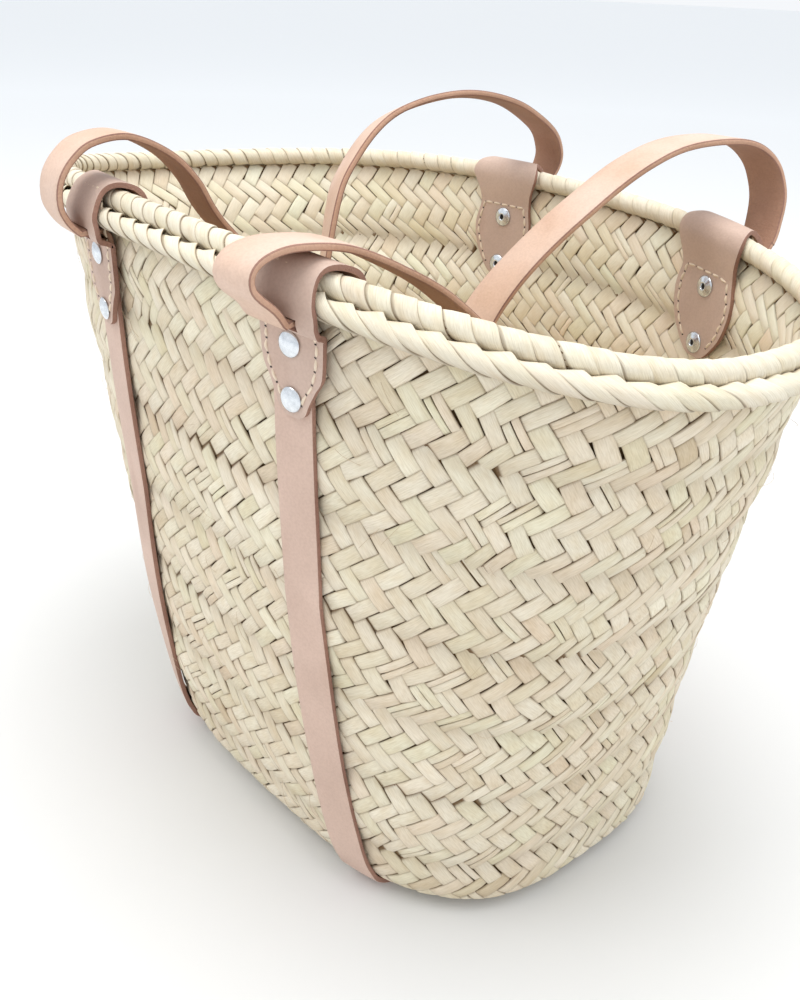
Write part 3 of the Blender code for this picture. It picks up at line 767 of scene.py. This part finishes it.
def roll_core(name, roll, depth):
    """The bundle inside a wrapped roll, dark with painted shade where gaps between the turns show it."""
    share = np.linspace(0, 1, CORE_STEPS)[:, None]
    turn = np.linspace(0, TAU, 13)[None, :]
    centre, outward = rim_path(share + 0 * turn, roll)
    return plain_grids(name, around(centre, outward, UP, roll[2] - depth, turn)[None], [PALM_CORE_SHADE])


# ---- leather

def leather_sheet(name, points, thickness, grain, outside_first, skip=None):
    """A sheet of leather from a rows x columns grid. skip(row, column) leaves a face out, for a slit."""
    rows, columns = points.shape[:2]
    bm = bmesh.new()
    verts = [[bm.verts.new(points[i, j]) for j in range(columns)] for i in range(rows)]
    for i in range(rows - 1):
        for j in range(columns - 1):
            if skip and skip(i, j):
                continue
            ring = (verts[i][j], verts[i][j + 1], verts[i + 1][j + 1], verts[i + 1][j])
            bm.faces.new(ring if outside_first else ring[::-1])
    mesh = bpy.data.meshes.new(name)
    bm.to_mesh(mesh)
    bm.free()
    for material in (grain, LEATHER_EDGE, LEATHER_FLESH_AND_SHADE):
        mesh.materials.append(material)
    mesh.shade_smooth()
    obj = add_object(name, mesh)
    solid = obj.modifiers.new("thickness", "SOLIDIFY")
    solid.thickness = thickness
    solid.offset = 0.0
    solid.material_offset_rim = 1
    solid.material_offset = 2
    bevel = obj.modifiers.new("worn_edges", "BEVEL")
    bevel.width = EDGE_WEAR
    bevel.segments = 2
    bevel.limit_method = "ANGLE"
    bevel.angle_limit = math.radians(50)
    return obj


def ragged(count, amount, seed):
    """A slow wander of a hand-cut edge."""
    rng = np.random.RandomState(seed)
    knots = rng.normal(0, amount, max(count // 7, 3) + 2)
    return np.interp(np.linspace(0, len(knots) - 1, count), np.arange(len(knots)), knots)


def tab_profile(lower):
    """(stand-off, height over the top edge, half width) up the outer flap, over the rim and down inside."""
    o, i = OUTER_FLAP, INNER_FLAP
    length = lower + FLAP_PAST_RIVET
    return smooth([
        (o, -length, 0.003), (o, -length + 0.0022, 0.006), (o, -length + 0.007, 0.008),
        (o, -length + 0.013, 0.0108), (o, -length + 0.019, 0.0136), (o, -0.014, 0.0146),
        (o + 0.0004, -0.0122, 0.015), (0.0075, -0.0106, 0.0154), (0.0098, -0.0096, 0.0158),
        (0.0107, -0.0073, 0.016), (0.0107, -0.004, 0.0156), (0.0106, 0.0005, 0.0148),
        (0.0086, 0.0055, 0.014), (0.0058, 0.0096, 0.0136), (0.002, 0.012, 0.0142),
        (-0.0022, 0.0124, 0.0168), (-0.007, 0.0105, 0.0208), (-0.0094, 0.0058, 0.022),
        (-0.0092, 0.0, 0.0205), (-0.0078, -0.006, 0.0185), (i, -0.012, 0.0178),
        (i, -0.024, 0.0205), (i, -length + 0.016, 0.0175), (i, -length + 0.007, 0.012),
        (i, -length + 0.002, 0.0075), (i, -length, 0.004),
    ], 5)


def build_tab(name, seed):
    """One tab folded over the rim, with its slit."""
    side, x, _, lower = TABS[name]
    profile = tab_profile(lower)
    x += RIVET_OFFSET
    shift = HANDLE_OFFSET - RIVET_OFFSET
    slit = [(shift + sign * (HANDLE_WIDTH / 2 + SLIT_PLAY)) / SLIT_HALF_FLAP for sign in (-1, 1)]
    columns = np.concatenate([np.linspace(-1, slit[0], 4), np.linspace(slit[0], slit[1], 11)[1:],
                              np.linspace(slit[1], 1, 7)[1:]])
    left = 1 + ragged(len(profile), TAB_RAGGED, seed)[:, None]
    right = 1 + ragged(len(profile), TAB_RAGGED, seed + 1)[:, None]
    half = profile[:, 2:3] * np.where(columns[None, :] < 0, left, right)
    points = on_side(x + half * columns[None, :], side, profile[:, 1:2], profile[:, 0:1])
    in_slit = (np.abs(profile[:, 1] + SLIT_DEPTH) < SLIT_HEIGHT / 2 + 0.0002) & (profile[:, 0] > SLIT_FACE)

    def skip(i, j):
        """Whether a face is in the slit."""
        inside = columns[j] >= slit[0] - 1e-6 and columns[j + 1] <= slit[1] + 1e-6
        return bool(in_slit[i] and in_slit[i + 1] and inside)

    tab = leather_sheet(name + "_tab_leather", points, TAB_THICKNESS, LEATHER_TAB, side < 0, skip)
    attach(tab, "basket")
    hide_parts(name + "_tab")


def build_base_strap(name, front_tab, back_tab, base_x, seed):
    """A strap from under a front tab, down the wall, across the base and up to a back tab."""
    front_x = TABS[front_tab][1] + HANDLE_OFFSET
    back_x = TABS[back_tab][1] + HANDLE_OFFSET
    corner = [BASE_CORNER * (1 - math.cos(k * math.radians(7.5))) / WALL_RISE for k in range(13)]

    def wall_run(x_top, side, tab):
        """From under a tab down to the base."""
        _, _, upper, lower = TABS[tab]
        top = 1 - ((upper + lower) / 2 + JOIN_GAP) / WALL_RISE
        climb = [corner[-1] + (top - corner[-1]) * (1 - k / 70) ** 1.5 for k in range(70)]
        t = np.array(climb + corner[::-1])
        x = base_x + (x_top - base_x) * np.minimum(t / STRAP_RUN_IN, 1.0) ** 0.8
        width = np.linspace(-0.5, 0.5, 9)[None, :] * STRAP_WIDTH
        edges = 1 + np.stack([ragged(len(t), STRAP_RAGGED, seed + side + k) for k in (0, 4)], 1)
        px = x[:, None] + width * edges[:, (np.arange(9) > 4).astype(int)]
        tt = t[:, None] + 0 * px
        phi = side_angle(px, side, tt)
        ripple = 0.00025 * np.sin(np.linspace(0, 19, len(t)))[:, None]
        return wall(phi, tt) + wall_normal(phi, tt) * (LAYER + 0.0001 + ripple * (tt > 0.05))[..., None]

    front = wall_run(front_x, -1, front_tab)
    back = wall_run(back_x, 1, back_tab)[::-1]
    under = np.linspace(0, 1, 12)[1:-1, None, None]
    middle = front[-1][None] * (1 - under) + back[0][None] * under
    points = np.concatenate([front, middle, back])
    strap = leather_sheet(name + "_leather", points, STRAP_THICKNESS, LEATHER_STRAP, False)
    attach(strap, "basket")
    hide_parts(name)


def strap_ring(half_width, thickness):
    """(across, through) of a strap's section, round its worn corners, and the part each stretch is."""
    w, h = half_width, thickness / 2
    across = [-w + 0.0006, -w * 0.5, 0, w * 0.5, w - 0.0006, w - 0.00012, w + 0.0001, w - 0.00012,
              w - 0.0006, w * 0.5, 0, -w * 0.5, -w + 0.0006, -w + 0.00012, -w - 0.0001, -w + 0.00012]
    through = [h, h + 0.0001, h + 0.0001, h + 0.0001, h, h - 0.0005, 0, -h + 0.0005,
               -h, -h, -h, -h, -h, -h + 0.0005, 0, h - 0.0005]
    return np.array(across), np.array(through), [0] * 4 + [1, 3, 3, 1] + [2] * 4 + [1, 3, 3, 1]


def sweep_strap(name, centres, widths, normals, seed):
    """A length of handle, with its grain, edges and flesh side."""
    across, through, parts = strap_ring(HANDLE_WIDTH / 2, HANDLE_THICKNESS - 0.0002)
    n = len(centres)
    right, left = (1 + ragged(n, HANDLE_RAGGED, seed + k)[:, None] for k in (0, 1))
    scale = np.where(across[None, :] > 0, right, left)
    points = (centres[:, None] + widths[:, None] * (across[None, :] * scale)[..., None]
              + normals[:, None] * through[None, :, None])
    materials = [LEATHER_TOP, LEATHER_EDGE, LEATHER_FLESH_AND_SHADE, LEATHER_CORE]
    return plain_grids(name, points[None], materials, part_of_column=parts, wrap=True)


def handle_centreline(name, near_tab, far_tab, route, hang):
    """Centres, width and thickness directions of a whole handle from tail to tail, the distance of
    each place from the two flex lines, and those lines' middles."""
    tails = []
    for tab in (near_tab, far_tab):
        side, x, upper, lower = TABS[tab]
        x += HANDLE_OFFSET
        origin, along, up, out = side_frame(x, side, SLIT_DEPTH)
        low = (upper + lower) / 2 - JOIN_GAP
        section = [(LAYER, -low), (LAYER, -0.018), (LAYER, -0.0122), (0.0025, -0.0092), (0.005, -0.0076),
                   (0.0085, -SLIT_DEPTH), (TAIL_END, -SLIT_DEPTH)]
        points = [on_side(x, side, h, LAYER) + out * (o - LAYER) for o, h in section]
        end = origin + out * (TAIL_END + FLEX_GAP)
        tails.append((points, end, end + up * EXIT_RISE + out * EXIT_RUN, along))
    middle = [np.array(p) / 1000 - ORIGIN for p in route]
    chain = [*tails[0][0], tails[0][1], tails[0][2], *middle,
             tails[1][2], tails[1][1], *tails[1][0][::-1]]
    curve = even_steps(smooth(chain, 24), 420)
    lengths = run_lengths(curve)
    tangents = unit(np.gradient(curve, axis=0))
    flex = [float(lengths[np.argmin(np.linalg.norm(curve - tail[1], axis=1))]) for tail in tails]
    even = np.linspace(0, 1, 401)
    spacing = even - CLOSER_ENDS * np.sin(TAU * even) / TAU
    loop = np.interp((lengths - flex[0]) / (flex[1] - flex[0]), spacing, even)
    ramp = np.clip((loop - TURN_START) / (1 - 2 * TURN_START), 0, 1)
    along_leg = np.clip((loop - LEAN_SPAN[0]) / (LEAN_SPAN[1] - LEAN_SPAN[0]), 0, 1)
    turn = math.pi * ramp * ramp * (3 - 2 * ramp) - LEAN[name] * np.sin(math.pi * along_leg) ** 2
    across = np.cross([1.0, 0.0, 0.0], hang)
    across = across / np.linalg.norm(across)
    widths = np.cos(turn)[:, None] * np.array([1.0, 0, 0]) + np.sin(turn)[:, None] * across
    for tail, toward in ((tails[0], loop < 0.5), (tails[1], loop >= 0.5)):
        edge = np.minimum(loop, 1 - loop)
        share = (np.clip(1.4 - edge / END_SHARE, 0, 1) * toward)[:, None]
        sign = np.sign((widths * tail[3]).sum(axis=1))[:, None]
        widths = widths * (1 - share) + tail[3] * sign * share
    widths = unit(widths - tangents * (widths * tangents).sum(axis=1)[:, None])
    normals = np.cross(widths, tangents)
    return curve, widths, normals, lengths, flex, tails


def build_handle(name, near_tab, far_tab, route, hang, body, seed):
    """The loop rides on its body. At each slit a short piece bends from the basket to the loop."""
    curve, widths, normals, lengths, flex, tails = handle_centreline(name, near_tab, far_tab, route, hang)
    if normals[len(normals) // 6][2] < 0:
        normals = -normals
        widths = -widths
    first = int(np.searchsorted(lengths, flex[0] + BEND_REACH))
    last = int(np.searchsorted(lengths, flex[1] - BEND_REACH))
    cut = slice(first, last + 1)
    loop = sweep_strap(name + "_loop", curve[cut], widths[cut], normals[cut], seed)
    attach(loop, body)
    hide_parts(name)
    ends = ((near_tab, tails[0], slice(0, first + 1)), (far_tab, tails[1], slice(last, None)))
    for tab, tail, cut in ends:
        piece = sweep_strap(tab + "_handle_bend", curve[cut], widths[cut], normals[cut], seed + 3)
        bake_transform(piece)
        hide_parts(tab + "_handle_tail")


# ---- stitches and rivets

def stitch_line(x, side, stand_off, places, rng):
    """Thread between each two neighbouring (dx, height) places, and a disc at each place, drawn dark as
    painted shade in the stitch hole.
    """
    threads, holes = [], []
    away = math.copysign(1.0, stand_off)
    for (ax, ah), (bx, bh) in zip(places[:-1], places[1:]):
        s = np.linspace(0.07, 0.93, 8)
        bend = rng.normal(0, STITCH_WANDER) * np.sin(math.pi * s)
        px = x + ax + (bx - ax) * s + bend
        height = ah + (bh - ah) * s
        arch = np.sin(math.pi * np.linspace(0, 1, 8)) * THREAD_ARCH - THREAD_DEPTH
        path = on_side(px, side, height, stand_off + away * arch)
        tangent = unit(np.gradient(path, axis=0))
        out = unit(on_side(px, side, height, stand_off + away * 0.01) - path)
        sideways = np.cross(tangent, out)
        turn = np.linspace(0, TAU, 9)
        r = THREAD_RADIUS * np.sqrt(np.clip(np.sin(math.pi * np.linspace(0.06, 0.94, 8)), 0, 1))
        threads.append(around(path[:, None], out[:, None], sideways[:, None], r[:, None], turn))
        centre = on_side(x + ax, side, ah, stand_off + away * 0.00006)
        ring = sideways[0] * np.cos(turn)[:, None] - tangent[0] * np.sin(turn)[:, None]
        holes.append(np.stack([centre + ring * 0.00001, centre + ring * NEEDLE_RADIUS]))
    return threads, holes


def build_stitches(name, seed):
    """Running stitches near the edges of both flaps and across them."""
    side, x, _, lower = TABS[name]
    x += RIVET_OFFSET
    rng = np.random.RandomState(seed)
    profile = tab_profile(lower)
    outer = profile[(profile[:, 0] > 0.004) & (profile[:, 0] < 0.0046) & (profile[:, 1] > -lower - 0.001)]
    inner = profile[(profile[:, 0] < INNER_FLAP + 0.0002) & (profile[:, 1] > -lower - 0.001)
                    & (profile[:, 1] < -0.01)]
    threads, holes = [], []
    for rows, stand_off in ((outer, OUTER_FACE), (inner, INNER_FACE)):
        order = rows[np.argsort(rows[:, 1])]
        heights = np.linspace(order[0, 1], order[-1, 1] - 0.0006, round(np.ptp(order[:, 1]) / STITCH) + 1)
        half = np.interp(heights, order[:, 1], order[:, 2]) - STITCH_INSET
        lines = [list(zip(sign * half, heights + rng.normal(0, STITCH_WANDER, len(heights))))
                 for sign in (-1, 1)]
        crossing = np.linspace(-half[-1], half[-1], 6)
        lines.append(list(zip(crossing, heights[-1] + rng.normal(0, STITCH_WANDER, 6))))
        for line in lines:
            some_threads, some_holes = stitch_line(x, side, stand_off, line, rng)
            threads += some_threads
            holes += some_holes
    for kind, pieces, material in (("stitches", threads, THREAD), ("stitch_hole_shades", holes, HOLE_SHADE)):
        stitches = plain_grids(f"{name}_{kind}", np.array(pieces), [material])
        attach(stitches, "basket")


def turned(profile, face, place):
    """A profile turned about a side_frame's outward direction, at a distance from the wall."""
    origin, along, up, out = place
    radius, height = np.array(profile).T[..., None]
    turn = np.linspace(0, TAU, 29)
    return around(origin + (face + height)[..., None] * out, along, up, radius, turn)[None]


def build_rivet(tab, level, depth):
    """A rivet's cap outside, and its open tube end inside, closed by a dark disc of painted shade."""
    side, x, _, _ = TABS[tab]
    place = side_frame(x + RIVET_OFFSET, side, depth)
    face = OUTER_FACE + RIVET_SEAT
    inner = INNER_FACE - RIVET_SEAT
    rivet = plain_grids(f"{tab}_{level}_rivet_cap", turned(CAP_PROFILE, face, place), [METAL])
    washer = plain_grids(f"{tab}_{level}_rivet_eye", turned(EYE_PROFILE, inner, place), [METAL])
    hole = plain_grids(f"{tab}_{level}_rivet_hole_shade", turned(HOLE_PROFILE, inner, place), [HOLE_SHADE])
    for piece in (rivet, washer, hole):
        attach(piece, "basket")
    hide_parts(f"{tab}_{level}_rivet")
    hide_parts(f"{tab}_{level}_rivet_washer")


# ---- loose fibres

def build_fibres(seed):
    """Fine hairs that stand off the plaiting."""
    rng = np.random.RandomState(seed)
    shape = (FIBRES, 1)
    s = np.linspace(0, 1, 7)[None, :]
    share = rng.uniform(0, 1, shape) + s * rng.normal(0, 0.01, shape)
    t = np.clip(rng.uniform(0.1, 0.99, shape) + s * rng.normal(0, 0.03, shape), 0.02, 1.0)
    phi = angle_of(share, t)
    lift = 0.0002 + np.sin(s * math.pi * 0.8) * rng.uniform(0.0008, 0.0035, shape)
    out = wall_normal(phi, t)
    path = wall(phi, t) + out * lift[..., None]
    sideways = np.cross(unit(np.gradient(path, axis=1)), out)
    turn = np.linspace(0, TAU, 4)
    points = around(path[:, :, None], out[:, :, None], sideways[:, :, None], FIBRE_RADIUS, turn)
    return plain_grids("loose_fibres", points, [PALM_RIM], tone=0.0)


# ---- stage

def build_floor():
    """A floor painted darker near the basket, where the lamps light it most, and lighter far off: painted
    light and shade that even out its brightness.
    """
    maker = Nodes("floor", 0.85, 0.1)
    distance = maker.new("ShaderNodeVectorMath", operation="LENGTH")
    maker.link(maker.new("ShaderNodeTexCoord").outputs["Object"], distance.inputs[0])
    spread = maker.new("ShaderNodeMapRange")
    spread.inputs["From Min"].default_value = FLOOR_FADE[0]
    spread.inputs["From Max"].default_value = FLOOR_FADE[1]
    maker.link(distance.outputs["Value"], spread.inputs["Value"])
    maker.link(maker.ramp(spread.outputs[0], FLOOR_PAINTED_LIGHT), maker.shader.inputs["Base Color"])
    corners = [[[x, y, 0.0] for x in (-FLOOR_HALF, FLOOR_HALF)] for y in (-FLOOR_HALF, FLOOR_HALF)]
    floor = plain_grids("floor", np.array([corners]), [maker.material])


def build_sky():
    """Soft light from all round, a little dimmer overhead."""
    world = bpy.data.worlds.new("studio")
    world.use_nodes = True
    tree = world.node_tree
    background = tree.nodes["Background"]
    background.inputs[1].default_value = SKY_STRENGTH
    direction = tree.nodes.new("ShaderNodeTexCoord")
    split = tree.nodes.new("ShaderNodeSeparateXYZ")
    ramp = tree.nodes.new("ShaderNodeValToRGB")
    for element, (place, colour) in zip(ramp.color_ramp.elements, SKY_SHADES):
        element.position = place
        element.color = colour
    tree.links.new(direction.outputs["Generated"], split.inputs[0])
    tree.links.new(split.outputs[2], ramp.inputs[0])
    tree.links.new(ramp.outputs[0], background.inputs[0])
    bpy.context.scene.world = world


def build_lights():
    """Area lights aimed at the basket."""
    for name, place, size, energy, colour in LIGHTS:
        light = bpy.data.lights.new(name, "AREA")
        light.size = size
        light.energy = energy
        light.color = colour
        obj = add_object(name, light)
        obj.location = place
        obj.rotation_euler = (LIGHTS_AIM - Vector(place)).to_track_quat("-Z", "Y").to_euler()


def build_camera():
    """A view from the steep end's front corner, looking down at the basket."""
    level = math.cos(ELEVATION)
    back = Vector((level * math.cos(AZIMUTH), -level * math.sin(AZIMUTH), math.sin(ELEVATION)))
    right = Vector((math.sin(AZIMUTH), math.cos(AZIMUTH), 0.0))
    up = back.cross(right)
    turned_right = right * math.cos(TILT) + up * math.sin(TILT)
    turned_up = up * math.cos(TILT) - right * math.sin(TILT)
    data = bpy.data.cameras.new("camera")
    data.lens = CAMERA_LENS
    data.sensor_width = 36.0
    data.clip_end = 100.0
    camera = add_object("camera", data)
    matrix = Matrix((turned_right, turned_up, back)).transposed().to_4x4()
    matrix.translation = CAMERA_TARGET - Vector(ORIGIN) + back * CAMERA_DISTANCE
    camera.matrix_world = matrix
    bpy.context.scene.camera = camera


# ---- assembly

def main():
    """Builds every piece, attaches all but the handles' bends to their bodies, hides the CAD nodes they
    replace, and sets up the stage.
    """
    outside = plait_wall("wall_plait_outside", False, PALM_OUT, 21)
    inside = plait_wall("wall_plait_inside", True, PALM_IN_PAINTED_LIGHT, 22)
    under = plait_base("base_plait_under", BASE_Z + UNDER_PLAIT_LIFT, False, PALM_OUT, 23)
    floor = plait_base("base_plait_inside", BASE_Z + WALL_THICKNESS, True, PALM_IN_PAINTED_LIGHT, 24)
    core = core_shell("plait_core")
    for piece in (outside, inside, under, floor, core):
        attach(piece, "basket")
        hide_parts("plaited_body")
    roll = wrapped_roll("rim_roll_wraps", RIM_ROLL, ROLL_WRAP, PALM_RIM, 31)
    binding = wrapped_roll("rim_binding_wraps", RIM_BINDING, BINDING_WRAP, PALM_RIM, 32)
    roll_bundle = roll_core("rim_roll_core", RIM_ROLL, ROLL_CORE_DEPTH)
    binding_bundle = roll_core("rim_binding_core", RIM_BINDING, BINDING_CORE_DEPTH)
    for parts, node in (((roll, roll_bundle), "rim_roll"), ((binding, binding_bundle), "rim_binding")):
        for part in parts:
            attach(part, "basket")
            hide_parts(node)
    fibres = build_fibres(41)
    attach(fibres, "basket")
    build_base_strap("near_base_strap", "front_near", "back_near", 0.103, 51)
    build_base_strap("far_base_strap", "front_far", "back_far", -0.056, 61)
    for number, (tab, (_, _, upper, lower)) in enumerate(TABS.items()):
        build_tab(tab, 70 + number * 3)
        build_stitches(tab, 90 + number)
        build_rivet(tab, "upper", upper)
        build_rivet(tab, "lower", lower)
    build_handle("front_handle", "front_near", "front_far", FRONT_ROUTE, FRONT_HANG, "front_handle_body", 101)
    build_handle("back_handle", "back_near", "back_far", BACK_ROUTE, BACK_HANG, "back_handle_body", 111)
    build_floor()
    build_sky()
    build_lights()
    build_camera()
    bpy.context.scene.view_settings.view_transform = "Standard"


main()
